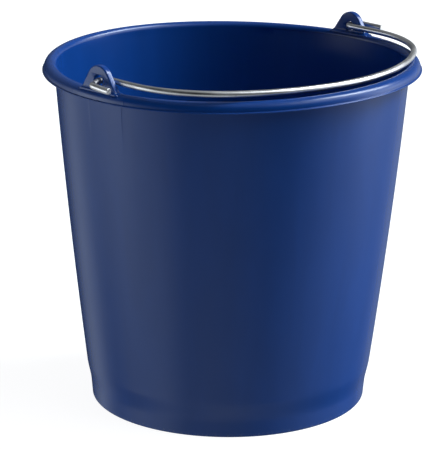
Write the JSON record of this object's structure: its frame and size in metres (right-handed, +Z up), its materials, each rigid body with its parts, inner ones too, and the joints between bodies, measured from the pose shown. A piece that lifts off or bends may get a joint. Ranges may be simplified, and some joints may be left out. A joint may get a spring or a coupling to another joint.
{
  "type": "wash bucket",
  "caption": "Round tapered plastic wash bucket with a foot ring, turned-over rim, moulded pivot ears and a loose swinging steel wire bail.",
  "frame": {"origin": "centre of the base, on the plane the foot ring stands on", "axes": "+Z up along the bucket's axis; X along the bail's pivot, from ear to ear; the bail lies folded down towards -Y at rest"},
  "size_m": [0.305, 0.296, 0.2912],
  "materials": {
    "blue_plastic": "satin, self-coloured deep blue polypropylene",
    "steel_wire": "bright drawn and plated"
  },
  "bodies": {
    "bucket": {"bucket_body": "blue_plastic"},
    "bail": {"wire_bail": "steel_wire"}
  },
  "joints": [
    {"name": "bail_swing", "type": "hinge", "parent": "bucket", "child": "bail", "pos_m": [0, 0, 0.2793], "axis": [-1, 0, 0], "range_deg": [0, 180.7]}
  ]
}
